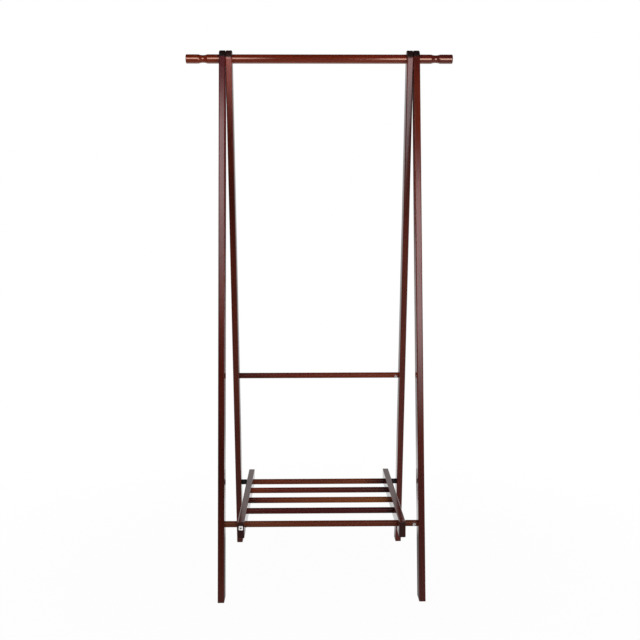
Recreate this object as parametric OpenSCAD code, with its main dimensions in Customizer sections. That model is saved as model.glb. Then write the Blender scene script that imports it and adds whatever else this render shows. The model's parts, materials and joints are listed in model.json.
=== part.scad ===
// Folding clothes rack: leaning legs on a hanging rod, and a slatted shelf that hooks on the front bar.
// Millimetres. +Z is up, -Y is the front, X runs along the rod.
// The origin is on the floor, midway between the feet.

/* [Frame] */
// Height of the hanging rod's axis above the floor
rod_h = 1577; // [1400:1:1750]
// Width over the outer faces of the front legs
frame_w = 600; // [480:1:760]
// Half the distance between front and rear feet, at the middle of each foot
foot_half = 260; // [235:1:300]

/* [Legs] */
// Thickness of a leg, across the rack
leg_t = 19; // [16:0.5:26]
// Width of a leg, seen from the side
leg_w = 50; // [44:1:64]
// Rounding along the long edges of legs and rails
edge_r = 3; // [1:0.5:4]
// Rounding at the corners of feet and rail ends
corner_r = 4; // [2:0.5:6]

/* [Hanging rod] */
// Length of the rod beyond a front leg's outer face
rod_overhang = 100; // [82:1:140]
// Diameter of the rod
rod_d = 27; // [23:0.5:29]
// Diameter at the narrowest place of the turned waists
waist_d = 22.2; // [19:0.2:22.6]
// Length of a waist along the rod
waist_len = 27; // [18:1:36]
// Distance from a rod end to the middle of its waist
waist_inset = 51; // [36:1:60]
// Chamfer at the rod's ends
rod_chamfer = 1.5; // [0.5:0.5:3]

/* [Cross bars] */
// Diameter of the front bar and of the mid bar
bar_d = 18; // [16:0.5:20]
// Height of the front bar's axis, and of the shelf's pivot
bar_h = 215; // [170:1:260]
// Height of the mid bar's axis, between the rear legs
mid_bar_h = 589; // [550:1:640]

/* [Shelf] */
// Length of the black spacer between a rail and its rear leg
spacer_len = 21; // [12:0.5:30]
// Outer diameter of the spacer
spacer_d = 17; // [14:0.5:20]
// Thickness of a shelf rail
rail_t = 19; // [16:0.5:24]
// Height of a shelf rail
rail_w = 48; // [44:1:56]
// How far the rail's middle lies above the pivot
rail_rise = 2; // [0:0.5:4]
// Length of a rail in front of the front bar's axis
rail_front = 64; // [48:1:72]
// Length of a rail behind the pivot
rail_rear = 68; // [40:1:72]
// Diameter of a shelf dowel
dowel_d = 18; // [16:0.5:20]
// Distance from one shelf dowel to the next
dowel_pitch = 110; // [95:1:115]
// Depth of a dowel's seat in a rail
dowel_seat = 10; // [6:0.5:12]
// Lean of the hook notch's front wall from the vertical, in degrees
notch_front_lean = 32; // [30:1:33]
// Lean of the hook notch's rear wall from the vertical, in degrees
notch_rear_lean = 40; // [38:1:46]

/* [End plate] */
// Side of the small square plate on the left rail's front end
plate_w = 12; // [9:0.5:14]
// Thickness of the plate
plate_t = 1.2; // [0.8:0.1:2]
// Height of the plate's middle above the rail's middle
plate_rise = 7; // [3:0.5:9]
// Head diameter of the plate's screw
plate_screw_d = 4.6; // [4:0.1:6]
// Length of the plate's screw
plate_screw_len = 12; // [8:1:16]

/* [Fasteners] */
// Shank diameter of the bolts
bolt_d = 6; // [5:0.5:6.5]
// Head diameter of the bolts
bolt_head_d = 13; // [11:0.5:15]
// Head thickness of the bolts
bolt_head_t = 3; // [2.5:0.5:4]
// Width across the flats of the hexagon socket in a bolt's head
hex_w = 4; // [3:0.5:5]
// Depth of that socket
hex_depth = 2; // [1:0.5:2]
// Diameter of a barrel nut
nut_d = 10; // [9:0.5:11]
// Length of a barrel nut
nut_len = 13; // [12:0.5:14]
// Distance from the wood at a bar's end to the barrel nut
nut_inset = 10; // [8:0.5:16]
// How far a barrel nut's end lies below the bar's surface
nut_sink = 1; // [0.5:0.25:1.5]
// Width and depth of the slot in a barrel nut's end
nut_slot = 1.4; // [1:0.1:1.8]
// How far the front bar's nuts point below the level, in degrees
front_nut_dip = 16; // [0:1:60]
// How far the mid bar's nuts point below the level, in degrees
mid_nut_dip = 32; // [0:1:60]
// Length of a bolt past its nut
bolt_past_nut = 3; // [2:0.5:6]
// Shank diameter of the screws that pin the rod
pin_screw_d = 4; // [3.5:0.5:5]
// Head diameter of those screws
pin_head_d = 8; // [7:0.5:10]
// Depth to which those screws reach into the rod
pin_depth = 10; // [7:0.5:14]
// Thickness of the washer between a front leg and a rear leg
washer_t = 0.5; // [0.5:0.1:1.2]
// Outer diameter of that washer
washer_d = 40; // [34:1:42]

/* [Fits] */
// Radial play of a part that turns on another
run_play = 0.05; // [0.02:0.01:0.08]
// Radial play round a part that is fixed in a hole
seat_play = 0.05; // [0.02:0.01:0.1]
// Play beside a part that turns
side_play = 0.1; // [0.1:0.05:0.4]
// Play round the front bar in the hook notch
notch_play = 0.35; // [0.3:0.05:0.5]
// Depth of a fastener's head below the wood
head_sink = 0.5; // [0.25:0.25:1]

/* [Hidden] */
$fn = 96;
// Allowance by which a cutting shape passes a face
pass = 1;
// Allowance that keeps a cut from ending flush with another face
skin = 0.05;
lean = atan(foot_half / rod_h);
leg_reach = rod_h / cos(lean) + leg_w;
front_leg_in = frame_w / 2 - leg_t;
rear_leg_out = front_leg_in - washer_t - 2 * side_play;
rear_leg_in = rear_leg_out - leg_t;
rail_out = rear_leg_in - spacer_len - 2 * side_play;
rail_in = rail_out - rail_t;
rod_len = frame_w + 2 * rod_overhang;
bar_y = (rod_h - bar_h) * tan(lean);
mid_bar_y = (rod_h - mid_bar_h) * tan(lean);
rail_h = bar_h + rail_rise;
rail_front_y = -bar_y - rail_front;
rail_rear_y = bar_y + rail_rear;
dowel_end = rail_in + dowel_seat;
head_depth = bolt_head_t + head_sink;
nut_reach = nut_inset + nut_d / 2 + bolt_past_nut;
pin_seat = leg_w / 2 - head_sink;
pin_tip = rod_d / 2 - pin_depth;
plate_x = -rail_in - rail_t / 2;
plate_z = rail_h + plate_rise;
// Turns of the left and right barrel nuts about X: at 0 the slotted end is up, at 90 it faces the front
front_nut_turns = [front_nut_dip - 90, front_nut_dip + 90];
mid_nut_turns = [mid_nut_dip - 90, mid_nut_dip + 90];
pivot_nut_turns = [180, 180];

WOOD = [0.27, 0.1, 0.08];
METAL = [0.75, 0.74, 0.72];
BLACK = [0.07, 0.07, 0.07];
WHITE = [0.93, 0.92, 0.9];

// Shapes that several pieces share

// Places its children on the right side, and their mirror image on the left
module both_sides() {
    children();
    mirror([1, 0, 0]) children();
}

// Lays a shape that stands along Z on the X axis, with its foot at x
module along_x(x, y, z) {
    translate([x, y, z]) rotate([0, 90, 0]) children();
}

// A round bar or hole along X that starts at x
module round_x(x, y, z, d, len) {
    along_x(x, y, z) cylinder(d = d, h = len);
}

module rounded_rect(w, h, r) {
    square([w - 2 * r, h], center = true);
    square([w, h - 2 * r], center = true);
    for (i = [-1, 1], j = [-1, 1])
        translate([i * (w / 2 - r), j * (h / 2 - r)]) circle(r = r);
}

// What a rounded corner takes away: the corner is at the origin, its edges run at angles a and b
module corner_cut(a, b, r) {
    half = (b - a) / 2;
    mid = (a + b) / 2;
    reach = r / tan(half);
    middle = [cos(mid), sin(mid)];
    difference() {
        polygon([reach * [cos(a), sin(a)], middle * r / sin(half), reach * [cos(b), sin(b)], -r * middle]);
        translate(middle * r / sin(half)) circle(r = r);
    }
}

// Legs

// A leg hangs down from the rod's axis, with a round top
module leg_body() {
    translate([0, 0, -leg_reach]) linear_extrude(leg_reach) rounded_rect(leg_t, leg_w, edge_r);
    intersection() {
        rotate([0, 90, 0]) rotate_extrude() intersection() {
            rounded_rect(leg_w, leg_t, edge_r);
            translate([0, -leg_t]) square([leg_w, 2 * leg_t]);
        }
        translate([-leg_t, -leg_w, 0]) cube([2 * leg_t, 2 * leg_w, leg_w]);
    }
}

// Rounds the foot's corners, seen from the side: s is 1 on a rear leg and -1 on a front leg
module foot_side_cuts(s) {
    half_foot = leg_w / 2 / cos(lean) + skin;
    up = 90 + s * lean;
    rotate([90, 0, 90]) translate([s * foot_half, -skin]) linear_extrude(2 * leg_t, center = true) {
        translate([-half_foot, 0]) corner_cut(0, up, corner_r);
        translate([half_foot, 0]) corner_cut(up, 180, corner_r);
    }
}

// Rounds the foot's corners, seen from the front
module foot_front_cuts(s) {
    half_foot = leg_t / 2 + skin;
    translate([0, s * foot_half, -skin]) rotate([90, 0, 0]) linear_extrude(2 * leg_w, center = true) {
        translate([-half_foot, 0]) corner_cut(0, 90, edge_r);
        translate([half_foot, 0]) corner_cut(90, 180, edge_r);
    }
}

// A standing leg in the middle of the rack, without its bolt holes
module leg(s, bore_play) {
    difference() {
        translate([0, 0, rod_h]) rotate([s * lean, 0, 0]) leg_body();
        translate([-leg_t, s * foot_half - 2 * leg_w, -4 * leg_w]) cube([2 * leg_t, 4 * leg_w, 4 * leg_w]);
        foot_side_cuts(s);
        foot_front_cuts(s);
        round_x(-leg_t / 2 - pass, 0, rod_h, rod_d + 2 * bore_play, leg_t + 2 * pass);
    }
}

// A bolt's hole through a right leg whose outer face is at x, with a seat for the head
module bolt_hole(x, y, z, play) {
    round_x(x - leg_t - pass, y, z, bolt_d + 2 * play, leg_t + 2 * pass);
    round_x(x - head_depth, y, z, bolt_head_d + 2 * seat_play, head_depth + pass);
}

module front_leg() {
    difference() {
        translate([frame_w / 2 - leg_t / 2, 0, 0]) leg(-1, run_play);
        bolt_hole(frame_w / 2, -bar_y, bar_h, seat_play);
    }
}

module rear_leg() {
    difference() {
        translate([rear_leg_out - leg_t / 2, 0, 0]) leg(1, seat_play);
        bolt_hole(rear_leg_out, bar_y, bar_h, run_play);
        bolt_hole(rear_leg_out, mid_bar_y, mid_bar_h, seat_play);
        pin_screw_hole();
    }
}

// Hanging rod

module hanging_rod() {
    bow_depth = (rod_d - waist_d) / 2;
    bow_r = (pow(waist_len / 2, 2) + pow(bow_depth, 2)) / (2 * bow_depth);
    color(WOOD) difference() {
        along_x(0, 0, rod_h) rotate_extrude() difference() {
            translate([0, -rod_len / 2]) square([rod_d / 2, rod_len]);
            for (s = [-1, 1]) {
                translate([waist_d / 2 + bow_r, s * (rod_len / 2 - waist_inset)]) circle(r = bow_r);
                translate([rod_d / 2, s * rod_len / 2]) rotate(45)
                    square(rod_chamfer * sqrt(2), center = true);
            }
        }
        both_sides() pin_screw_hole();
    }
}

// Bars and dowels

// Places its children at the two barrel nuts of a bar that shows between faces at -face and face
module at_nuts(face, turns) {
    for (i = [0, 1])
        translate([(2 * i - 1) * (face - nut_inset), 0, 0]) rotate([turns[i], 0, 0]) children();
}

// A round bar from -end to end, drilled at both ends for a bolt and its barrel nut
module drilled_bar(y, z, end, face, d, turns) {
    translate([0, y, z]) difference() {
        round_x(-end, 0, 0, d, 2 * end);
        both_sides() round_x(face - nut_reach, 0, 0, bolt_d + 2 * seat_play, end - face + nut_reach + pass);
        at_nuts(face, turns) translate([0, 0, d / 2 - nut_sink - nut_len - seat_play])
            cylinder(d = nut_d + 2 * seat_play, h = nut_len + seat_play + nut_sink + pass);
    }
}

module front_bar() {
    color(WOOD) drilled_bar(-bar_y, bar_h, front_leg_in, front_leg_in, bar_d, front_nut_turns);
}

module mid_bar() {
    color(WOOD) drilled_bar(mid_bar_y, mid_bar_h, rear_leg_in, rear_leg_in, bar_d, mid_nut_turns);
}

module rear_dowel() {
    color(WOOD) drilled_bar(bar_y, bar_h, dowel_end, rail_in, dowel_d, pivot_nut_turns);
}

module shelf_dowel(n) {
    color(WOOD) round_x(-dowel_end, bar_y - n * dowel_pitch, rail_h, dowel_d, 2 * dowel_end);
}

// Shelf rails

// The notch that hooks over the front bar, seen from the side, with the bar's axis at the origin
module notch_outline() {
    front = notch_front_lean;
    rear = notch_rear_lean;
    r = bar_d / 2 + notch_play;
    front_top = -(r + skin) * [cos(front), sin(front)];
    rear_top = (r + skin) * [cos(rear), sin(rear)];
    circle(r = r);
    polygon([
        [0, 0], front_top, front_top + rail_w * [sin(front), -cos(front)],
        rear_top + rail_w * [sin(rear), -cos(rear)], rear_top
    ]);
}

// Rounds one end of a rail: s is 1 at the rear and -1 at the front
module rail_end_cuts(s, y) {
    up = rail_w / 2 + skin;
    out = rail_t / 2 + skin;
    translate([0, y, 0]) mirror([0, s < 0 ? 1 : 0, 0]) translate([0, skin, 0]) {
        rotate([90, 0, 90]) linear_extrude(2 * rail_t, center = true) {
            translate([0, up]) corner_cut(180, 270, corner_r);
            translate([0, -up]) corner_cut(90, 180, corner_r);
        }
        linear_extrude(2 * rail_w, center = true) {
            translate([out, 0]) corner_cut(180, 270, edge_r);
            translate([-out, 0]) corner_cut(270, 360, edge_r);
        }
    }
}

module rail_body() {
    difference() {
        translate([0, rail_rear_y, 0]) rotate([90, 0, 0]) linear_extrude(rail_rear_y - rail_front_y)
            rounded_rect(rail_t, rail_w, edge_r);
        rail_end_cuts(1, rail_rear_y);
        rail_end_cuts(-1, rail_front_y);
    }
}

// The right rail
module rail() {
    difference() {
        translate([rail_in + rail_t / 2, 0, rail_h]) rail_body();
        translate([rail_in - pass, -bar_y, bar_h]) rotate([90, 0, 90])
            linear_extrude(rail_t + 2 * pass) notch_outline();
        round_x(rail_in - pass, bar_y, bar_h, bolt_d + 2 * seat_play, rail_t + 2 * pass);
        dowel_hole(bar_y, bar_h);
        for (n = [1 : 3]) dowel_hole(bar_y - n * dowel_pitch, rail_h);
    }
}

module dowel_hole(y, z) {
    round_x(rail_in - pass, y, z, dowel_d + 2 * seat_play, dowel_seat + pass);
}

// Fasteners

// A bolt on the right side, its head's top at x and its shank pointing to the middle
module bolt(x, y, z, len) {
    along_x(x, y, z) mirror([0, 0, 1]) {
        difference() {
            cylinder(d = bolt_head_d, h = bolt_head_t);
            translate([0, 0, -pass]) cylinder(d = hex_w / cos(30), h = hex_depth + pass, $fn = 6);
        }
        translate([0, 0, bolt_head_t]) cylinder(d = bolt_d, h = len);
    }
}

// Bolts with their heads in legs whose outer faces are at x, into a bar that shows up to face
module bolt_pair(x, y, z, face) {
    head = x - head_sink;
    color(METAL) both_sides() bolt(head, y, z, head - bolt_head_t - face + nut_reach);
}

// Barrel nuts in the holes of a bar, bored for the bolt and slotted at the outer end
module nut_pair(y, z, face, d, turns) {
    top = d / 2 - nut_sink;
    color(METAL) translate([0, y, z]) at_nuts(face, turns) difference() {
        translate([0, 0, top - nut_len]) cylinder(d = nut_d, h = nut_len);
        round_x(-nut_d, 0, 0, bolt_d + 2 * seat_play, 2 * nut_d);
        translate([-nut_slot / 2, -nut_d, top - nut_slot]) cube([nut_slot, 2 * nut_d, 2 * nut_slot]);
    }
}

// The right screw that pins the rod from the top of a rear leg, grown by a play
module pin_screw(play) {
    translate([rear_leg_out - leg_t / 2, 0, rod_h]) rotate([lean, 0, 0]) {
        translate([0, 0, pin_tip - play]) cylinder(d = pin_screw_d + 2 * play, h = pin_seat - pin_tip);
        translate([0, 0, pin_seat - pin_head_d / 2])
            cylinder(d1 = 2 * play, d2 = pin_head_d + 2 * play, h = pin_head_d / 2);
    }
}

// The hole for that screw, open at the leg's top
module pin_screw_hole() {
    pin_screw(seat_play);
    translate([rear_leg_out - leg_t / 2, 0, rod_h]) rotate([lean, 0, 0]) translate([0, 0, pin_seat - skin])
        cylinder(d = pin_head_d + 2 * seat_play, h = head_sink + skin + pass);
}

module end_plate() {
    color(WHITE) difference() {
        translate([plate_x, rail_front_y, plate_z]) rotate([90, 0, 0])
            linear_extrude(plate_t) rounded_rect(plate_w, plate_w, plate_w / 8);
        plate_screw(seat_play);
    }
}

// The screw of the end plate, grown by a play
module plate_screw(play) {
    translate([plate_x, rail_front_y - plate_t, plate_z]) rotate([-90, 0, 0]) {
        translate([0, 0, -play]) cylinder(d = plate_screw_d + 2 * play, h = plate_t / 2 + play);
        cylinder(d = plate_screw_d / 2 + 2 * play, h = plate_screw_len + play);
    }
}

// The named pieces

module front_right_leg() { color(WOOD) front_leg(); }
module front_left_leg() { color(WOOD) mirror([1, 0, 0]) front_leg(); }
module rear_right_leg() { color(WOOD) rear_leg(); }
module rear_left_leg() { color(WOOD) mirror([1, 0, 0]) rear_leg(); }
module right_rail() { color(WOOD) rail(); }
module left_rail() {
    color(WOOD) difference() {
        mirror([1, 0, 0]) rail();
        plate_screw(seat_play);
    }
}
module right_spacer() {
    color(BLACK) difference() {
        round_x(rail_out + side_play, bar_y, bar_h, spacer_d, spacer_len);
        round_x(rail_out, bar_y, bar_h, bolt_d + 2 * seat_play, 2 * spacer_len);
    }
}
module left_spacer() { mirror([1, 0, 0]) right_spacer(); }
module right_washer() {
    color(BLACK) difference() {
        round_x(rear_leg_out + side_play, 0, rod_h, washer_d, washer_t);
        round_x(rear_leg_out, 0, rod_h, rod_d + 2 * seat_play, 2 * leg_t);
    }
}
module left_washer() { mirror([1, 0, 0]) right_washer(); }
module front_bar_bolts() { bolt_pair(frame_w / 2, -bar_y, bar_h, front_leg_in); }
module mid_bar_bolts() { bolt_pair(rear_leg_out, mid_bar_y, mid_bar_h, rear_leg_in); }
module pivot_bolts() { bolt_pair(rear_leg_out, bar_y, bar_h, rail_in); }
module front_bar_nuts() { nut_pair(-bar_y, bar_h, front_leg_in, bar_d, front_nut_turns); }
module mid_bar_nuts() { nut_pair(mid_bar_y, mid_bar_h, rear_leg_in, bar_d, mid_nut_turns); }
module pivot_nuts() { nut_pair(bar_y, bar_h, rail_in, dowel_d, pivot_nut_turns); }
module rod_screws() { color(METAL) both_sides() pin_screw(0); }
module end_plate_screw() { color(BLACK) plate_screw(0); }

hanging_rod();
front_left_leg();
front_right_leg();
rear_left_leg();
rear_right_leg();
front_bar();
mid_bar();
left_rail();
right_rail();
rear_dowel();
shelf_dowel(1);  // shelf_dowel_1
shelf_dowel(2);  // shelf_dowel_2
shelf_dowel(3);  // shelf_dowel_3
left_spacer();
right_spacer();
left_washer();
right_washer();
front_bar_bolts();
mid_bar_bolts();
pivot_bolts();
front_bar_nuts();
mid_bar_nuts();
pivot_nuts();
rod_screws();
end_plate();
end_plate_screw();
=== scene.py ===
import json
import math

import bmesh
import bpy
from mathutils import Euler, Matrix, Vector

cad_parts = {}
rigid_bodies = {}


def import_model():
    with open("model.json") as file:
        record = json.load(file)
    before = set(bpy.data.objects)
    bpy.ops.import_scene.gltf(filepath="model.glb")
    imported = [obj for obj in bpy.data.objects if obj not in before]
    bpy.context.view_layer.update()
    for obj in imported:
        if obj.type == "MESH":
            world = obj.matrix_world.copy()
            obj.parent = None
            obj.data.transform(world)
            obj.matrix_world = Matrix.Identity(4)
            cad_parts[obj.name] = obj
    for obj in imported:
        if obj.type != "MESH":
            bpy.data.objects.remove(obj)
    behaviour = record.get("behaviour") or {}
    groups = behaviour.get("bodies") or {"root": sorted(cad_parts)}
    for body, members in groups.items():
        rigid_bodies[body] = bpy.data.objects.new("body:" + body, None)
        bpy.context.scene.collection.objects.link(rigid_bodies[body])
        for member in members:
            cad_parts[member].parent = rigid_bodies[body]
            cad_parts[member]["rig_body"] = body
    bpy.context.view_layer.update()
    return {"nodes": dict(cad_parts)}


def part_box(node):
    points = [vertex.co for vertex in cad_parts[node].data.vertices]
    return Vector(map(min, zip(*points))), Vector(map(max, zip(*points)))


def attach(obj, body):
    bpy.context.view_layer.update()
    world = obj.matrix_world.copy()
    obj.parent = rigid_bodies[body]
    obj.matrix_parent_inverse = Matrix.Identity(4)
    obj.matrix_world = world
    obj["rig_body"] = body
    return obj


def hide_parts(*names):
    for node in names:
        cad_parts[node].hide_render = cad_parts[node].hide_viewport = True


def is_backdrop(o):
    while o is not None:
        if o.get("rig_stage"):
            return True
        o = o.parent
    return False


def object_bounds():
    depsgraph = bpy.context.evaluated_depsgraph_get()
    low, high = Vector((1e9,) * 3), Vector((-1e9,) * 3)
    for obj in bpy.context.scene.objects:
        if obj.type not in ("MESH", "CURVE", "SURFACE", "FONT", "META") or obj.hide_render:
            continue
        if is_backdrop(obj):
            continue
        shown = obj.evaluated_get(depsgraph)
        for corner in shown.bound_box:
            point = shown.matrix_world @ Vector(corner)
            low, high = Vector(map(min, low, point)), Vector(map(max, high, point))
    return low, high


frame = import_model()
nodes = frame["nodes"]

# Sizes of the rack, in metres, as its source gives them
ROD_Z = 1.577
ROD_HALF = 0.400
FOOT_Y = 0.260
LEAN = math.atan(FOOT_Y / ROD_Z)
LEG_T = 0.019
LEG_W = 0.050
FRONT_LEG_X = 0.2905
REAR_LEG_X = 0.2708
RAIL_X = 0.2306
RAIL_Y = 0.002
RAIL_Z = 0.217
RAIL_T = 0.019
RAIL_W = 0.048
RAIL_HALF = 0.29055
PIVOT_Y = 0.22455
PIVOT_Z = 0.215
DOWEL_PITCH = 0.110
MID_BAR_Y = 0.1629
MID_BAR_Z = 0.589
BOLT_BORE_R = 0.00305
ROD_BORE_R = 0.01355
NUT_TOP = 0.008
NUT_LENGTH = 0.013
NUT_R = 0.005
SCREW_SEAT = 0.0245
SCREW_LENGTH = 0.0208

QUARTER = math.radians(90.0)
SHARP = math.radians(28.0)


# Node trees

def put(tree, kind, values=None, **settings):
    """Adds a node: settings are its own, values fill its sockets or link into them."""
    made = tree.nodes.new(kind)
    for key, value in settings.items():
        setattr(made, key, value)
    for key, value in (values or {}).items():
        if isinstance(value, bpy.types.NodeSocket):
            tree.links.new(value, made.inputs[key])
        else:
            made.inputs[key].default_value = value
    return made


def maths(tree, operation, *values):
    return put(tree, "ShaderNodeMath", dict(enumerate(values)), operation=operation).outputs[0]


def stretched(tree, vector, factors):
    return put(tree, "ShaderNodeVectorMath", {0: vector, 1: factors}, operation="MULTIPLY").outputs["Vector"]


def distance(tree, vector):
    return put(tree, "ShaderNodeVectorMath", {0: vector}, operation="LENGTH").outputs["Value"]


def split(tree, vector):
    return put(tree, "ShaderNodeSeparateXYZ", {0: vector}).outputs


def ramp(tree, value, low, high, to_low=0.0, to_high=1.0):
    """Smoothly carries value from low..high to to_low..to_high."""
    ends = {0: value, 1: low, 2: high, 3: to_low, 4: to_high}
    return put(tree, "ShaderNodeMapRange", ends, interpolation_type="SMOOTHSTEP").outputs[0]


def mixed(tree, factor, a, b, blend="MIX"):
    return put(tree, "ShaderNodeMix", {0: factor, 6: a, 7: b}, data_type="RGBA", blend_type=blend).outputs[2]


def noise(tree, place, scale, detail, roughness=0.5, distortion=0.0):
    return put(tree, "ShaderNodeTexNoise", {
        "Vector": place, "Scale": scale, "Detail": detail, "Roughness": roughness, "Distortion": distortion,
    }).outputs["Fac"]


def group(name, kind, inputs, outputs):
    """A node group with named sockets; returns it with its input and output nodes."""
    tree = bpy.data.node_groups.new(name, kind)
    for title, form, default in inputs:
        socket = tree.interface.new_socket(title, in_out="INPUT", socket_type="NodeSocket" + form)
        if default is not None:
            socket.default_value = default
    for title, form in outputs:
        tree.interface.new_socket(title, in_out="OUTPUT", socket_type="NodeSocket" + form)
    return tree, tree.nodes.new("NodeGroupInput"), tree.nodes.new("NodeGroupOutput")


def use(tree, shared, values):
    """Places a shared shader group in a material."""
    return put(tree, "ShaderNodeGroup", values, node_tree=shared).outputs


# Effects that several finishes share

PORE_DARK = (0.012, 0.004, 0.003, 1.0)


def make_mahogany_grain():
    """Stained wood under clear lacquer: broad figure, fine streaks and short dark pores along X."""
    tree, given, out = group(
        "mahogany grain", "ShaderNodeTree",
        [("Along", "Vector", None), ("Lit", "Color", None), ("Deep", "Color", None),
         ("Open Pores", "Float", 0.3)],
        [("Color", "Color"), ("Height", "Float")],
    )
    along = given.outputs["Along"]
    broad = noise(tree, stretched(tree, along, (1.7, 34.0, 34.0)), 1.0, 3.0, 0.55, 0.6)
    fine = noise(tree, stretched(tree, along, (7.0, 420.0, 420.0)), 1.0, 4.0, 0.6, 0.3)
    pores = noise(tree, stretched(tree, along, (130.0, 2600.0, 2600.0)), 1.0, 1.0)
    pore = maths(tree, "MULTIPLY", ramp(tree, pores, 0.60, 0.70), given.outputs["Open Pores"])
    figure = maths(tree, "ADD", maths(tree, "MULTIPLY", broad, 0.62), maths(tree, "MULTIPLY", fine, 0.38))
    colour = mixed(tree, ramp(tree, figure, 0.32, 0.68), given.outputs["Deep"], given.outputs["Lit"])
    tree.links.new(mixed(tree, pore, colour, PORE_DARK), out.inputs["Color"])
    streaks = maths(tree, "MULTIPLY", fine, 0.4)
    tree.links.new(maths(tree, "SUBTRACT", streaks, pore), out.inputs["Height"])
    return tree


def make_edge_rub():
    """Where two faces of a bar meet, the finish is rubbed thin. Half is half the bar's size about its
    middle, and Pair is how far the middles of a left and right bar lie from the rack's middle."""
    tree, given, out = group(
        "edge rub", "ShaderNodeTree",
        [("Piece", "Vector", None), ("Half", "Vector", None), ("Pair", "Float", 0.0),
         ("Width", "Float", 0.0035)],
        [("Mask", "Float")],
    )
    place = split(tree, given.outputs["Piece"])
    half = split(tree, given.outputs["Half"])
    off_x = maths(tree, "SUBTRACT", maths(tree, "ABSOLUTE", place[0]), given.outputs["Pair"])
    near = []
    for value, reach in ((off_x, half[0]), (place[1], half[1]), (place[2], half[2])):
        inside = maths(tree, "SUBTRACT", maths(tree, "ABSOLUTE", value), reach)
        near.append(ramp(tree, maths(tree, "DIVIDE", inside, given.outputs["Width"]), -1.0, 0.0))
    x_y = maths(tree, "MULTIPLY", near[0], near[1])
    y_z = maths(tree, "MULTIPLY", near[1], near[2])
    z_x = maths(tree, "MULTIPLY", near[2], near[0])
    edge = maths(tree, "MAXIMUM", maths(tree, "MAXIMUM", x_y, y_z), z_x)
    patches = ramp(tree, noise(tree, given.outputs["Piece"], 55.0, 3.0, 0.7), 0.42, 0.66)
    tree.links.new(maths(tree, "MULTIPLY", edge, patches), out.inputs["Mask"])
    return tree


GRAIN = make_mahogany_grain()
EDGE_RUB = make_edge_rub()


# Finishes

def new_material(name):
    """A material with a bare shader; returns both, their tree, and the place on the object."""
    made = bpy.data.materials.new(name)
    made.use_nodes = True
    tree = made.node_tree
    tree.nodes.clear()
    shader = tree.nodes.new("ShaderNodeBsdfPrincipled")
    put(tree, "ShaderNodeOutputMaterial", {"Surface": shader.outputs[0]})
    return made, tree, shader, put(tree, "ShaderNodeTexCoord").outputs["Object"]


def emboss(tree, shader, height, strength, depth):
    bump = put(tree, "ShaderNodeBump", {"Height": height, "Strength": strength, "Distance": depth})
    tree.links.new(bump.outputs[0], shader.inputs["Normal"])


def staining_and_painted_light_along(tree, run, stops):
    """The colour along a piece: its staining together with painted light and shade. Stops are (metres along
    the grain, red, green, blue), in order.
    """
    first, last = stops[0][0], stops[-1][0]
    part = put(tree, "ShaderNodeMapRange", {0: run, 1: first, 2: last}).outputs[0]
    band = put(tree, "ShaderNodeValToRGB", {"Fac": part})
    band.color_ramp.interpolation = "EASE"
    marks = band.color_ramp.elements
    while len(marks) < len(stops):
        marks.new(0.5)
    for mark, (metres, *colour) in zip(marks, stops):
        mark.position = (metres - first) / (last - first)
        mark.color = (*colour, 1.0)
    return band.outputs["Color"]


DEEP_GRAIN = (0.58, 0.55, 0.56, 1.0)
RUBBED_THIN = (0.05, 0.016, 0.0096, 1.0)
END_GRAIN = (0.006, 0.0025, 0.002, 1.0)
LACQUER_TINT = (1.0, 0.85, 0.87, 1.0)


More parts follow.
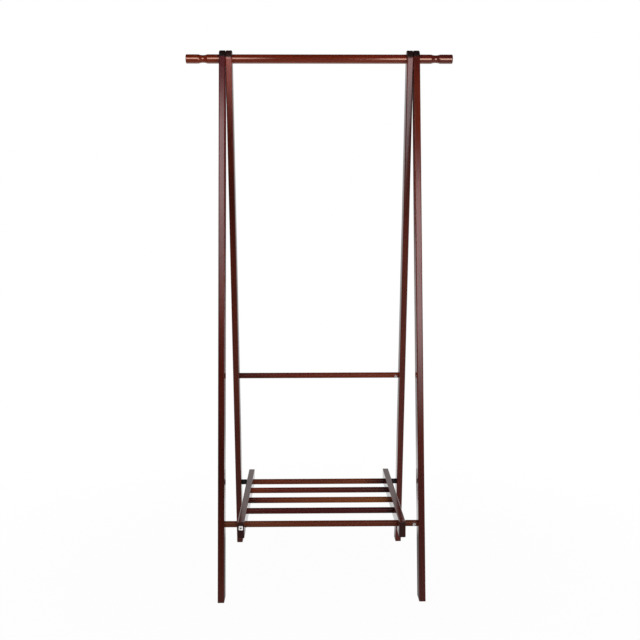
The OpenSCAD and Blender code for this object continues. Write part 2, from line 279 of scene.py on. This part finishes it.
def lacquered_mahogany(name, centre, tilt, along, half, stain_and_painted_light, pair=0.0, satin=0.0, filled=0.0,
                       cap=None, length=0.0):
    """Dark red-brown mahogany under lacquer, gloss or more satin, which leaves the pores open or is filled
    level. The piece's own frame lies at centre, tilted about X, and along turns it so that X follows the
    grain. Its colour stops, given as (metres along the grain, red, green, blue), hold the wood's staining
    together with painted light and shade along the piece, and half and pair go to the edge rub. End grain
    drinks the
    staining and goes darker: cap is the radius of a round top and the heights over which it darkens, and
    length is half the length of a piece whose ends show."""
    made, tree, shader, place = new_material(name)
    turn = Euler((tilt, 0.0, 0.0)).to_matrix()
    piece = put(tree, "ShaderNodeMapping", {
        "Vector": place, "Location": -(turn @ Vector(centre)), "Rotation": (tilt, 0.0, 0.0),
    }).outputs[0]
    grain_way = put(tree, "ShaderNodeMapping", {"Vector": piece, "Rotation": along}).outputs[0]
    run = split(tree, grain_way)[0]
    # The colour stops paint light and shade along the piece as well as its staining
    lit = staining_and_painted_light_along(tree, run, stain_and_painted_light)
    deep = mixed(tree, 1.0, lit, DEEP_GRAIN, "MULTIPLY")
    open_pores = 0.3 * (1.0 - filled)
    grain = use(tree, GRAIN, {"Along": grain_way, "Lit": lit, "Deep": deep, "Open Pores": open_pores})
    rub = use(tree, EDGE_RUB, {"Piece": piece, "Half": half, "Pair": pair})["Mask"]
    worn = mixed(tree, 1.0, lit, RUBBED_THIN, "ADD")
    colour = mixed(tree, maths(tree, "MULTIPLY", rub, 0.35), grain["Color"], worn)
    end = 0.0
    if cap:
        radius, low, high = cap
        spot = split(tree, piece)
        above = maths(tree, "MAXIMUM", spot[2], 0.0)
        outward = distance(tree, put(tree, "ShaderNodeCombineXYZ", {1: spot[1], 2: above}).outputs[0])
        ring = ramp(tree, outward, radius - 0.0030, radius - 0.0012)
        end = maths(tree, "MULTIPLY", ring, ramp(tree, spot[2], low, high, 0.0, 0.93))
    if length:
        end = ramp(tree, maths(tree, "ABSOLUTE", run), length - 0.0014, length - 0.0004, 0.0, 0.6)
    if cap or length:
        colour = mixed(tree, end, colour, END_GRAIN)
    tree.links.new(colour, shader.inputs["Base Color"])
    smooth, hazy = 0.11 + 0.2 * satin, 0.16 + 0.2 * satin
    sheen = ramp(tree, noise(tree, piece, 14.0, 2.0), 0.3, 0.7, smooth, hazy)
    worn_sheen = maths(tree, "MULTIPLY_ADD", rub, 0.16, sheen)
    tree.links.new(maths(tree, "MULTIPLY_ADD", end, 0.4, worn_sheen), shader.inputs["Roughness"])
    ripple = noise(tree, piece, 38.0, 1.0)
    height = maths(tree, "MULTIPLY_ADD", grain["Height"], 0.03, ripple)
    emboss(tree, shader, height, 0.35 - 0.25 * filled, 0.0004)
    shader.inputs["Specular IOR Level"].default_value = 0.5 - 0.25 * satin
    shader.inputs["Specular Tint"].default_value = LACQUER_TINT
    return made


def polished(material):
    """Rubs a lacquer up to a hard, warm gloss."""
    shader = material.node_tree.nodes["Principled BSDF"]
    shader.inputs["IOR"].default_value = 1.7
    shader.inputs["Specular IOR Level"].default_value = 1.0
    shader.inputs["Specular Tint"].default_value = (1.0, 0.62, 0.48, 1.0)
    return material


def moulded_plastic(name, colour, roughness, pits):
    """Moulded plastic with a fine spark-eroded texture and faint flow marks."""
    made, tree, shader, place = new_material(name)
    flow = noise(tree, place, 90.0, 3.0, distortion=0.8)
    darker = [c * 0.82 for c in colour[:3]] + [1.0]
    tree.links.new(mixed(tree, ramp(tree, flow, 0.3, 0.7), darker, colour), shader.inputs["Base Color"])
    tree.links.new(ramp(tree, flow, 0.3, 0.7, roughness, roughness + 0.1), shader.inputs["Roughness"])
    emboss(tree, shader, noise(tree, place, 2200.0, 2.0), pits, 0.0001)
    return made


def plated_steel(name, colour, roughness, metal=1.0):
    """Turned steel with a thin plating: cloudy tone, small handling marks."""
    made, tree, shader, place = new_material(name)
    cloud = noise(tree, place, 260.0, 4.0)
    darker = [c * 0.7 for c in colour[:3]] + [1.0]
    tree.links.new(mixed(tree, ramp(tree, cloud, 0.35, 0.65), darker, colour), shader.inputs["Base Color"])
    tree.links.new(ramp(tree, cloud, 0.3, 0.7, roughness, roughness + 0.14), shader.inputs["Roughness"])
    shader.inputs["Metallic"].default_value = metal
    emboss(tree, shader, noise(tree, place, 900.0, 2.0), 0.25, 0.0001)
    return made


def coat(material, *names):
    """Gives CAD nodes a material of the scene's own."""
    for name in names:
        slots = nodes[name].material_slots
        for slot in slots:
            slot.material = material
        if not slots:
            nodes[name].data.materials.append(material)


# Turns that lay X along a piece's grain
UPRIGHT = (0.0, QUARTER, 0.0)
ENDWISE = (0.0, 0.0, -QUARTER)
LEVEL = (0.0, 0.0, 0.0)

# Half sizes for the edge rub: all of a round face counts as near an edge, and nothing does on a long one
ROUND = -1.0
LONG = 9.0

# Heights over which the round leg tops darken, from the rod's middle up
FRONT_CAP = (-0.001, 0.002)
REAR_CAP = (0.004, 0.008)

# Each leg's colour from its foot up to the rod, in metres below the rod: partly the planks' own staining,
# which differs, and partly painted light and shade along the leg: the right front leg is lighter than the
# left, as the light comes from the right, the legs darken where less light falls and lighten towards the foot
# where the floor throws light back, and the left rear leg's top carries a painted highlight
for title, node, tilt, pair, cap, stain_and_painted_light in (
    ("left front leg mahogany", "front_left_leg", LEAN, FRONT_LEG_X, FRONT_CAP, (
        (-1.60, 0.072, 0.014, 0.0075), (-1.45, 0.069, 0.012, 0.0060), (-1.20, 0.050, 0.0067, 0.0035),
        (-1.00, 0.069, 0.0088, 0.0043), (-0.60, 0.100, 0.013, 0.0067), (-0.20, 0.118, 0.015, 0.013),
        (0.00, 0.080, 0.011, 0.014))),
    ("right front leg mahogany", "front_right_leg", LEAN, FRONT_LEG_X, FRONT_CAP, (
        (-1.60, 0.078, 0.015, 0.010), (-1.28, 0.080, 0.017, 0.013), (-1.05, 0.115, 0.019, 0.010),
        (-0.60, 0.122, 0.016, 0.0069), (-0.10, 0.138, 0.018, 0.0072), (0.00, 0.084, 0.011, 0.0066))),
    ("left rear leg mahogany", "rear_left_leg", -LEAN, REAR_LEG_X, REAR_CAP, (
        (-1.60, 0.087, 0.016, 0.0075), (-1.30, 0.090, 0.016, 0.0077), (-1.10, 0.098, 0.021, 0.011),
        (-0.70, 0.074, 0.012, 0.0056), (-0.40, 0.054, 0.0079, 0.0033), (-0.25, 0.079, 0.011, 0.0047),
        (-0.05, 0.200, 0.030, 0.016), (0.00, 0.225, 0.036, 0.021))),
    ("right rear leg mahogany", "rear_right_leg", -LEAN, REAR_LEG_X, REAR_CAP, (
        (-1.60, 0.115, 0.022, 0.015), (-1.30, 0.122, 0.024, 0.016), (-0.70, 0.104, 0.022, 0.013),
        (-0.40, 0.080, 0.017, 0.011), (-0.15, 0.083, 0.015, 0.0094), (0.00, 0.138, 0.023, 0.015))),
):
    wood = lacquered_mahogany(title, (0.0, 0.0, ROD_Z), tilt, UPRIGHT, (LEG_T / 2, LEG_W / 2, LONG), stain_and_painted_light,
                              pair=pair, cap=(LEG_W / 2, *cap))
    coat(wood, node)

# The rails' colour from their front ends back, a little darker towards the back
wood = lacquered_mahogany(
    "rail mahogany", (0.0, RAIL_Y, RAIL_Z), 0.0, ENDWISE, (RAIL_T / 2, RAIL_HALF, RAIL_W / 2),
    ((-0.28, 0.075, 0.011, 0.0058), (0.28, 0.065, 0.0095, 0.0051)), pair=RAIL_X, length=RAIL_HALF)
coat(wood, "left_rail", "right_rail")

# The rod's and each bar's colour from its left end to its right: partly each piece's own staining, and partly
# painted
# light and shade: the rod lighter at its left end, where its highlight is, and darker at its right, the mid
# bar lighter towards the right, where the light comes from, the front bar lighter and yellower at its left
# end, a painted highlight, and the dowels dark at their ends by the rails, a painted shade
wood = lacquered_mahogany(
    "rod mahogany", (0.0, 0.0, ROD_Z), 0.0, LEVEL, (ROD_HALF - 0.0005, ROUND, LONG), (
        (-0.40, 0.158, 0.017, 0.0042), (-0.25, 0.134, 0.013, 0.0039), (0.10, 0.123, 0.012, 0.0039),
        (0.25, 0.123, 0.013, 0.0062), (0.40, 0.070, 0.0070, 0.0055)), filled=1.0, length=ROD_HALF)
coat(polished(wood), "hanging_rod")

for title, node, y, z, stain_and_painted_light in (
    ("front bar mahogany", "front_bar", -PIVOT_Y, PIVOT_Z, (
        (-0.28, 0.162, 0.040, 0.013), (-0.20, 0.164, 0.040, 0.013), (-0.13, 0.140, 0.030, 0.0076),
        (-0.05, 0.125, 0.022, 0.0057), (0.10, 0.114, 0.019, 0.0052), (0.28, 0.131, 0.025, 0.0069))),
    ("mid bar mahogany", "mid_bar", MID_BAR_Y, MID_BAR_Z, (
        (-0.26, 0.076, 0.010, 0.0052), (-0.10, 0.128, 0.016, 0.0064), (0.05, 0.146, 0.021, 0.0067),
        (0.26, 0.195, 0.031, 0.0086))),
    ("rear dowel mahogany", "rear_dowel", PIVOT_Y, PIVOT_Z, (
        (-0.22, 0.173, 0.032, 0.0090), (0.00, 0.150, 0.028, 0.0083), (0.14, 0.180, 0.037, 0.0094),
        (0.19, 0.105, 0.019, 0.0067), (0.22, 0.038, 0.0075, 0.0045))),
    ("first dowel mahogany", "shelf_dowel_1", PIVOT_Y - DOWEL_PITCH, RAIL_Z, (
        (-0.22, 0.209, 0.033, 0.0079), (-0.12, 0.133, 0.019, 0.0086), (0.19, 0.076, 0.013, 0.0068),
        (0.22, 0.036, 0.0072, 0.0050))),
    ("second dowel mahogany", "shelf_dowel_2", PIVOT_Y - 2 * DOWEL_PITCH, RAIL_Z, (
        (-0.22, 0.068, 0.011, 0.0060), (-0.18, 0.128, 0.018, 0.0083), (-0.10, 0.173, 0.033, 0.0079),
        (0.10, 0.217, 0.051, 0.0090), (0.20, 0.232, 0.064, 0.0086), (0.22, 0.120, 0.030, 0.0060))),
    ("third dowel mahogany", "shelf_dowel_3", PIVOT_Y - 3 * DOWEL_PITCH, RAIL_Z, (
        (-0.22, 0.102, 0.017, 0.014), (-0.15, 0.084, 0.0085, 0.0070), (0.02, 0.068, 0.0076, 0.0064),
        (0.19, 0.066, 0.0080, 0.0077), (0.22, 0.033, 0.0051, 0.0044))),
):
    wood = lacquered_mahogany(title, (0.0, y, z), 0.0, LEVEL, (0.27, ROUND, LONG), stain_and_painted_light,
                              satin=1.0, filled=0.6)
    coat(wood, node)

BLACK = moulded_plastic("black plastic", (0.014, 0.014, 0.015, 1.0), 0.42, 0.5)
WHITE = moulded_plastic("white plastic", (0.93, 0.92, 0.91, 1.0), 0.30, 0.3)
ZINC = plated_steel("zinc plated steel", (0.66, 0.65, 0.62, 1.0), 0.26)
# The barrel nuts' zinc: a passivated skin, whose pale, half-diffuse colour also paints in the bright glint on
# the nut ends
ZINC_PAINTED_PALE_FOR_GLINT = plated_steel("passivated zinc painted pale for a glint", (0.93, 0.93, 0.91, 1.0), 0.40, 0.35)
BLACKENED = plated_steel("blackened steel", (0.05, 0.048, 0.045, 1.0), 0.38)


# Hardware, modelled finer than the source's plain shapes

def shown(name, mesh):
    """An object of a mesh, in the scene."""
    made = bpy.data.objects.new(name, mesh)
    bpy.context.scene.collection.objects.link(made)
    return made


def closed(name, shape):
    """The mesh of a finished closed shape, with its faces turned outwards."""
    bmesh.ops.recalc_face_normals(shape, faces=shape.faces)
    mesh = bpy.data.meshes.new(name)
    shape.to_mesh(mesh)
    shape.free()
    return mesh


def turned(name, profile, steps=48, hollow=False):
    """Turns a profile of (radius, height) points about Z. A hollow profile closes on itself."""
    shape = bmesh.new()
    angles = [2.0 * math.pi * step / steps for step in range(steps)]
    rings = []
    for radius, height in profile:
        if radius == 0.0:
            rings.append([shape.verts.new((0.0, 0.0, height))])
            continue
        rings.append([shape.verts.new((radius * math.cos(a), radius * math.sin(a), height)) for a in angles])
    pairs = list(zip(rings, rings[1:])) + ([(rings[-1], rings[0])] if hollow else [])
    for one, other in pairs:
        for step in range(steps):
            after = (step + 1) % steps
            corners = [one[step % len(one)], one[after % len(one)],
                       other[after % len(other)], other[step % len(other)]]
            shape.faces.new(list(dict.fromkeys(corners)))
    return closed(name, shape)


def stacked(name, levels):
    """A closed block through outlines of equally many points, each at its own height."""
    shape = bmesh.new()
    rings = [[shape.verts.new((x, y, height)) for x, y in outline] for outline, height in levels]
    count = len(rings[0])
    for one, other in zip(rings, rings[1:]):
        for step in range(count):
            after = (step + 1) % count
            shape.faces.new([one[step], one[after], other[after], other[step]])
    shape.faces.new(rings[0])
    shape.faces.new(rings[-1])
    return closed(name, shape)


def prism(name, outline, low, high):
    """A straight block from one outline."""
    return stacked(name, [(outline, low), (outline, high)])


def settle(made):
    """Turns an object's modifiers into plain mesh, smooth apart from its sharp edges."""
    bpy.context.view_layer.update()
    finished = bpy.data.meshes.new_from_object(made.evaluated_get(bpy.context.evaluated_depsgraph_get()))
    made.modifiers.clear()
    made.data = finished
    finished.polygons.foreach_set("use_smooth", [True] * len(finished.polygons))
    finished.set_sharp_from_angle(angle=SHARP)
    return made


def carved(name, mesh, *cutters):
    """The mesh of a body with other meshes cut out of it."""
    body = shown(name, mesh)
    for cutter in cutters:
        cut = body.modifiers.new(cutter.name, "BOOLEAN")
        cut.operation = "DIFFERENCE"
        cut.solver = "EXACT"
        cut.object = shown(cutter.name, cutter)
    settle(body)
    for cutter in cutters:
        bpy.data.objects.remove(bpy.data.objects[cutter.name])
    made = body.data
    bpy.data.objects.remove(body)
    return made


def regular(sides, across_flats):
    """The outline of a regular polygon."""
    reach = across_flats / 2.0 / math.cos(math.pi / sides)
    angles = [2.0 * math.pi * side / sides for side in range(sides)]
    return [(reach * math.cos(a), reach * math.sin(a)) for a in angles]


def crossed(reach, half):
    """The outline of a cross recess."""
    return [(reach, -half), (reach, half), (half, half), (half, reach), (-half, reach), (-half, half),
            (-reach, half), (-reach, -half), (-half, -half), (-half, -reach), (half, -reach), (half, -half)]


def squared(side, corner):
    """The outline of a square with rounded corners."""
    inner = side / 2.0 - corner
    steps = 6
    points = []
    for quarter, (x, y) in enumerate(((inner, inner), (-inner, inner), (-inner, -inner), (inner, -inner))):
        for step in range(steps + 1):
            a = QUARTER * (quarter + step / steps)
            points.append((x + corner * math.cos(a), y + corner * math.sin(a)))
    return points


def stand_for(made, node):
    """Lets a finer piece ride in the place of a CAD node."""
    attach(made, nodes[node]["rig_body"])
    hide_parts(node)


def make_pair_tree():
    """Stands one fastener at a right and a left place, and cuts its thread as ridges round the shank."""
    tree, given, out = group(
        "fasteners in pairs", "GeometryNodeTree",
        [("Fastener", "Geometry", None), ("Ridges", "Int", 0), ("Pitch", "Float", 0.001),
         ("Thread Radius", "Float", 0.003), ("Thread Depth", "Float", 0.0004),
         ("Thread Start", "Float", -0.005),
         ("Right Place", "Vector", None), ("Right Turn", "Vector", None),
         ("Left Place", "Vector", None), ("Left Turn", "Vector", None), ("Finish", "Material", None)],
        [("Pair", "Geometry")],
    )
    size = given.outputs
    start = put(tree, "ShaderNodeCombineXYZ", {2: size["Thread Start"]}).outputs[0]
    down = put(tree, "ShaderNodeCombineXYZ", {2: maths(tree, "MULTIPLY", size["Pitch"], -1.0)}).outputs[0]
    line = put(tree, "GeometryNodeMeshLine", {
        "Count": size["Ridges"], "Start Location": start, "Offset": down})
    root = maths(tree, "SUBTRACT", size["Thread Radius"], size["Thread Depth"])
    ring = put(tree, "GeometryNodeCurvePrimitiveCircle", {"Resolution": 24, "Radius": root})
    edge = put(tree, "GeometryNodeCurvePrimitiveCircle", {"Resolution": 4, "Radius": size["Thread Depth"]})
    ridge = put(tree, "GeometryNodeCurveToMesh", {
        "Curve": ring.outputs[0], "Profile Curve": edge.outputs[0]})
    thread = put(tree, "GeometryNodeInstanceOnPoints", {
        "Points": line.outputs[0], "Instance": ridge.outputs[0]})
    whole = put(tree, "GeometryNodeJoinGeometry")
    tree.links.new(thread.outputs[0], whole.inputs[0])
    tree.links.new(size["Fastener"], whole.inputs[0])
    index = put(tree, "GeometryNodeInputIndex").outputs[0]
    left = put(tree, "FunctionNodeCompare", {2: index, 3: 1}, data_type="INT", operation="EQUAL").outputs[0]
    place, turn = [
        put(tree, "GeometryNodeSwitch", {
            "Switch": left, "False": size["Right " + what], "True": size["Left " + what],
        }, input_type="VECTOR").outputs[0]
        for what in ("Place", "Turn")
    ]
    spots = put(tree, "GeometryNodePoints", {"Count": 2, "Position": place}).outputs[0]
    facing = put(tree, "FunctionNodeEulerToRotation", {0: turn}).outputs[0]
    pair = put(tree, "GeometryNodeInstanceOnPoints", {
        "Points": spots, "Instance": whole.outputs[0], "Rotation": facing})
    real = put(tree, "GeometryNodeRealizeInstances", {"Geometry": pair.outputs[0]})
    dressed = put(tree, "GeometryNodeSetMaterial", {"Geometry": real.outputs[0], "Material": size["Finish"]})
    tree.links.new(dressed.outputs[0], out.inputs["Pair"])
    return tree


PAIR_TREE = make_pair_tree()


def fit_pair(node, mesh, finish, **sizes):
    """Puts a pair of finer fasteners where a node's own are, and lets them stand for it."""
    made = shown(node + "_fine", mesh)
    modifier = made.modifiers.new("pair", "NODES")
    modifier.node_group = PAIR_TREE
    names = {item.name: item.identifier for item in PAIR_TREE.interface.items_tree if item.in_out == "INPUT"}
    for title, value in dict(sizes, Finish=finish).items():
        modifier[names[title.replace("_", " ")]] = value
    stand_for(settle(made), node)


def fit_one(node, mesh, turn, place, finish):
    """Puts one finer piece where a node's own is, and lets it stand for it."""
    mesh.transform(Matrix.Translation(place) @ turn)
    mesh.materials.clear()
    mesh.materials.append(finish)
    stand_for(settle(shown(node + "_fine", mesh)), node)


def make_bolt(length):
    """A furniture bolt, head up, with its head's top at 0: a flat round head with a softened rim."""
    radius, rim = 0.0065, 0.0030
    head = [(0.0, 0.0), (0.0040, 0.0), (0.0056, -0.0001), (0.0062, -0.0004), (radius, -0.0010),
            (radius, -rim + 0.0003), (radius - 0.0003, -rim)]
    shank = [(0.0031, -rim), (0.0027, -rim - 0.0006), (0.0027, -length + 0.0008), (0.0020, -length),
             (0.0, -length)]
    mouth = [(0.0, 0.0005), (0.0030, 0.0005), (0.0021, -0.0004), (0.0, -0.0004)]
    return carved("bolt body", turned("bolt", head + shank),
                  prism("hex socket", regular(6, 0.004), -0.0020, 0.0010), turned("socket mouth", mouth, 24))


def make_barrel_nut(top, length):
    """A barrel nut along Z, slotted end up, bored across for its bolt."""
    foot, chamfer = top - length, 0.0005
    past, slot_half, slot_depth = 0.008, 0.0007, 0.0014
    body = turned("barrel nut", [
        (0.0, top), (NUT_R - chamfer, top), (NUT_R, top - chamfer),
        (NUT_R, foot + chamfer), (NUT_R - chamfer, foot), (0.0, foot)])
    bore = turned("bolt bore", [(0.0, -past), (BOLT_BORE_R, -past), (BOLT_BORE_R, past), (0.0, past)], 32)
    bore.transform(Matrix.Rotation(QUARTER, 4, "Y"))
    outline = [(-slot_half, -past), (slot_half, -past), (slot_half, past), (-slot_half, past)]
    return carved("nut body", body, bore, prism("driver slot", outline, top - slot_depth, top + 0.002))


def make_wood_screw(length):
    """A countersunk wood screw, head up, with a cross recess."""
    body = turned("wood screw", [
        (0.0, 0.0), (0.0037, 0.0), (0.0040, -0.0002), (0.0020, -0.0036), (0.0015, -0.0048),
        (0.0015, -length + 0.004), (0.0, -length)])
    return carved("screw body", body, prism("cross recess", crossed(0.0021, 0.00055), -0.0018, 0.001))


# Bolts, with their heads in the outer faces of the legs
for node in ("front_bar_bolts", "mid_bar_bolts", "pivot_bolts"):
    low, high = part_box(node)
    tip = min(v.co.x for v in nodes[node].data.vertices if v.co.x > 0.0)
    x, y, z = high.x, (low.y + high.y) / 2, (low.z + high.z) / 2
    length = x - tip
    ridges, pitch = 14, 0.001
    fit_pair(node, make_bolt(length), ZINC,
             Ridges=ridges, Pitch=pitch, Thread_Radius=0.003, Thread_Depth=0.00035,
             Thread_Start=-length + 0.0012 + (ridges - 1) * pitch,
             Right_Place=(x, y, z), Right_Turn=(0.0, QUARTER, 0.0),
             Left_Place=(-x, y, z), Left_Turn=(0.0, -QUARTER, 0.0))

# Barrel nuts, and how far the right one and the left one are turned about their bar, in degrees
for node, bar, right, left in (
    ("front_bar_nuts", "front_bar", 16.0 + 90.0, 16.0 - 90.0),
    ("mid_bar_nuts", "mid_bar", 32.0 + 90.0, 32.0 - 90.0),
    ("pivot_nuts", "rear_dowel", 180.0, 180.0),
):
    low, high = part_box(bar)
    x, y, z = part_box(node)[1].x - NUT_R, (low.y + high.y) / 2, (low.z + high.z) / 2
    fit_pair(node, make_barrel_nut(NUT_TOP, NUT_LENGTH), ZINC_PAINTED_PALE_FOR_GLINT, Ridges=0,
             Right_Place=(x, y, z), Right_Turn=(math.radians(right), 0.0, 0.0),
             Left_Place=(-x, y, z), Left_Turn=(math.radians(left), 0.0, 0.0))

# Screws that pin the rod, driven down the rear legs' tops
y, z = -SCREW_SEAT * math.sin(LEAN), ROD_Z + SCREW_SEAT * math.cos(LEAN)
fit_pair("rod_screws", make_wood_screw(SCREW_LENGTH), ZINC,
         Ridges=8, Pitch=0.0018, Thread_Radius=0.002, Thread_Depth=0.0004, Thread_Start=-0.0055,
         Right_Place=(REAR_LEG_X, y, z), Right_Turn=(LEAN, 0.0, 0.0),
         Left_Place=(-REAR_LEG_X, y, z), Left_Turn=(LEAN, 0.0, 0.0))

ACROSS = Matrix.Rotation(QUARTER, 4, "Y")
FORWARD = Matrix.Rotation(QUARTER, 4, "X")


def fit_ring(node, edge, bore, steps):
    """A ring across the rack; edge gives its lower points from its bore, outer radius and half length."""
    low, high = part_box(node)
    lower = edge(bore, (high.z - low.z) / 2, (high.x - low.x) / 2)
    upper = [(radius, -height) for radius, height in reversed(lower)]
    fit_one(node, turned(node + " ring", lower + upper, steps, hollow=True), ACROSS, (low + high) / 2, BLACK)


def spacer_edge(bore, outer, half):
    """A rounded outer edge and a small chamfer in the bore."""
    soft = 0.0007
    return [(bore, -half + soft / 2), (bore + soft / 2, -half), (outer - soft, -half),
            (outer - soft * 0.3, -half + soft * 0.3), (outer, -half + soft)]


def washer_edge(bore, outer, half):
    """A small chamfer outside and in the bore."""
    soft = 0.00015
    return [(bore, -half + soft), (bore + soft, -half), (outer - soft, -half), (outer, -half + soft)]


for kind, edge, bore, steps in (
    ("spacer", spacer_edge, BOLT_BORE_R, 64),
    ("washer", washer_edge, ROD_BORE_R, 96),
):
    for side in ("left", "right"):
        fit_ring(f"{side}_{kind}", edge, bore, steps)

# The plate on the left rail's front end, its edges softened, and its screw
low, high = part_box("end_plate")
x, z = (low.x + high.x) / 2, (low.z + high.z) / 2
width, thick = high.x - low.x, high.y - low.y
plate = stacked("plate", [
    (squared(width - narrower, width / 8), height)
    for narrower, height in (
        (0.0003, 0.0), (0.0, 0.0002), (0.0, thick - 0.0004), (0.0003, thick - 0.00012), (0.0009, thick))
])
hole = turned("screw hole", [(0.0, -0.001), (0.00235, -0.001), (0.00235, 0.004), (0.0, 0.004)], 32)
fit_one("end_plate", carved("plate body", plate, hole), FORWARD, Vector((x, high.y, z)), WHITE)

screw = turned("plate screw", [
    (0.0, 0.0), (0.0017, 0.0), (0.0021, -0.0001), (0.0023, -0.0003), (0.0023, -0.0006), (0.00115, -0.0006),
    (0.00115, -0.0100), (0.0, -0.0120)], 32)
recess = prism("small recess", crossed(0.0013, 0.00035), -0.0005, 0.001)
fit_one("end_plate_screw", carved("plate screw body", screw, recess), FORWARD,
        Vector((x, low.y, z)), BLACKENED)


# Floor, light and camera

def ray_kinds(tree):
    """Whether a ray comes straight from the camera, and whether gloss or clear stuff sent it on."""
    ray = put(tree, "ShaderNodeLightPath").outputs
    return ray["Is Camera Ray"], maths(tree, "MAXIMUM", ray["Is Glossy Ray"], ray["Is Transmission Ray"])


def make_floor():
    """A pale floor that fades to white, keeps a soft shadow, and is dim where the gloss mirrors its front."""
    mesh = bpy.data.meshes.new("floor")
    reach = 60.0
    corners = [(-reach, -reach, 0.0), (reach, -reach, 0.0), (reach, reach, 0.0), (-reach, reach, 0.0)]
    mesh.from_pydata(corners, [], [(0, 1, 2, 3)])
    floor = shown("floor", mesh)
    made = bpy.data.materials.new("pale floor")
    made.use_nodes = True
    tree = made.node_tree
    tree.nodes.clear()
    place = put(tree, "ShaderNodeTexCoord").outputs["Object"]
    spot = split(tree, place)
    seen, mirrored = ray_kinds(tree)
    paper = put(tree, "ShaderNodeBsdfDiffuse", {"Color": (0.82, 0.82, 0.82, 1.0)})
    aside = maths(tree, "MULTIPLY_ADD", spot[0], 2.2, spot[1])
    front = ramp(tree, aside, -4.2, -0.2, 0.04, 0.24)
    behind = ramp(tree, spot[1], 0.25, 0.5, 0.0, 0.76)
    far = ramp(tree, spot[1], 1.0, 2.2, 1.0, 0.5)
    shade = maths(tree, "MULTIPLY", maths(tree, "ADD", front, behind), far)
    strength = maths(tree, "ADD", seen, maths(tree, "MULTIPLY", mirrored, shade))
    glow = put(tree, "ShaderNodeEmission", {"Color": (1.0, 1.0, 1.0, 1.0), "Strength": strength})
    white = ramp(tree, distance(tree, place), 0.5, 1.6, 0.955, 1.0)
    part = maths(tree, "MAXIMUM", maths(tree, "MULTIPLY", seen, white), mirrored)
    both = put(tree, "ShaderNodeMixShader", {0: part, 1: paper.outputs[0], 2: glow.outputs[0]})
    put(tree, "ShaderNodeOutputMaterial", {"Surface": both.outputs[0]})
    mesh.materials.append(made)
    floor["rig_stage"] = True


def make_world():
    """White to the camera, a soft sky on the wood, and for the gloss a dim room that is brighter behind."""
    world = bpy.data.worlds.new("studio")
    world.use_nodes = True
    tree = world.node_tree
    tree.nodes.clear()
    way = split(tree, put(tree, "ShaderNodeTexCoord").outputs["Generated"])
    seen, mirrored = ray_kinds(tree)
    gloss = ramp(tree, way[1], 0.72, 0.95, 0.03, 0.53)
    soft = ramp(tree, way[2], -0.1, 0.75, 1.05, 0.40)
    room = mixed(tree, seen, mixed(tree, mirrored, soft, gloss), (1.0, 1.0, 1.0, 1.0))
    back = put(tree, "ShaderNodeBackground", {"Color": room, "Strength": 1.0})
    put(tree, "ShaderNodeOutputWorld", {"Surface": back.outputs[0]})
    bpy.context.scene.world = world


def look(place, forward, level, roll=0.0):
    """The matrix of a lamp or camera at a place that looks forward, rolled from level by an angle."""
    rise = level.cross(forward)
    right = math.cos(roll) * level + math.sin(roll) * rise
    return Matrix.Translation(place) @ Matrix((right, right.cross(forward), -forward)).transposed().to_4x4()


def make_softbox(name, place, aim, width, height, radiance, mirrored=0.0):
    """A flat light that faces aim. Radiance 1 shows as white. Mirrored is 0 where gloss doesn't show it, or
    how far up it reaches its full light."""
    lamp = bpy.data.lights.new(name, "AREA")
    lamp.shape = "RECTANGLE"
    lamp.size = width
    lamp.size_y = height
    lamp.energy = math.pi * width * height * radiance
    box = bpy.data.objects.new(name, lamp)
    bpy.context.scene.collection.objects.link(box)
    forward = (Vector(aim) - Vector(place)).normalized()
    level = forward.cross(Vector((0.0, 0.0, 1.0))).normalized()
    box.matrix_world = look(Vector(place), forward, level)
    box.visible_camera = False
    box.visible_glossy = mirrored > 0.0
    if mirrored:
        lamp.use_nodes = True
        tree = lamp.node_tree
        spot = split(tree, put(tree, "ShaderNodeNewGeometry").outputs["Parametric"])
        middle = maths(tree, "ABSOLUTE", maths(tree, "SUBTRACT", spot[0], 0.5))
        lower = ramp(tree, spot[1], 0.0, mirrored)
        upper = ramp(tree, spot[1], 0.72, 0.98, 1.0, 0.0)
        sides = ramp(tree, middle, 0.26, 0.5, 1.0, 0.0)
        fade = maths(tree, "MULTIPLY", maths(tree, "MULTIPLY", lower, upper), sides)
        tree.links.new(fade, tree.nodes["Emission"].inputs["Strength"])


def make_camera():
    """The photograph's own view, fitted to the rack's edges."""
    focal, picture, sensor = 954.9, 640.0, 36.0
    place = Vector((-0.0459, -2.9342, 1.1030))
    pitch, yaw, roll = 0.1066, 0.0158, -0.0015
    forward = Vector((math.sin(yaw) * math.cos(pitch), math.cos(yaw) * math.cos(pitch), -math.sin(pitch)))
    level = Vector((math.cos(yaw), -math.sin(yaw), 0.0))
    lens = bpy.data.cameras.new("camera")
    lens.sensor_width = sensor
    lens.lens = focal * sensor / picture
    camera = bpy.data.objects.new("camera", lens)
    bpy.context.scene.collection.objects.link(camera)
    camera.matrix_world = look(place, forward, level, roll)
    bpy.context.scene.camera = camera


make_camera()
make_floor()
make_world()
make_softbox("left softbox", (-0.50, -1.50, 1.66), (-0.36, 0.0, 1.58), width=0.62, height=1.40,
             radiance=4.4, mirrored=0.62)
make_softbox("right softbox", (0.55, -1.50, 1.275), (0.42, 0.0, 1.2), width=0.62, height=1.45,
             radiance=4.4, mirrored=0.45)
make_softbox("front fill", (2.0, -4.2, 1.4), (0.2, 0.0, 0.5), width=3.0, height=2.0, radiance=1.6)
make_softbox("top fill", (0.25, -1.05, 1.66), (0.1, 0.0, 1.66), width=1.8, height=0.7, radiance=1.3)
make_softbox("back fill", (-1.0, 4.0, 2.2), (0.0, 0.0, 0.8), width=3.0, height=2.0, radiance=3.0)
bpy.context.scene.view_settings.view_transform = "Standard"

low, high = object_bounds()
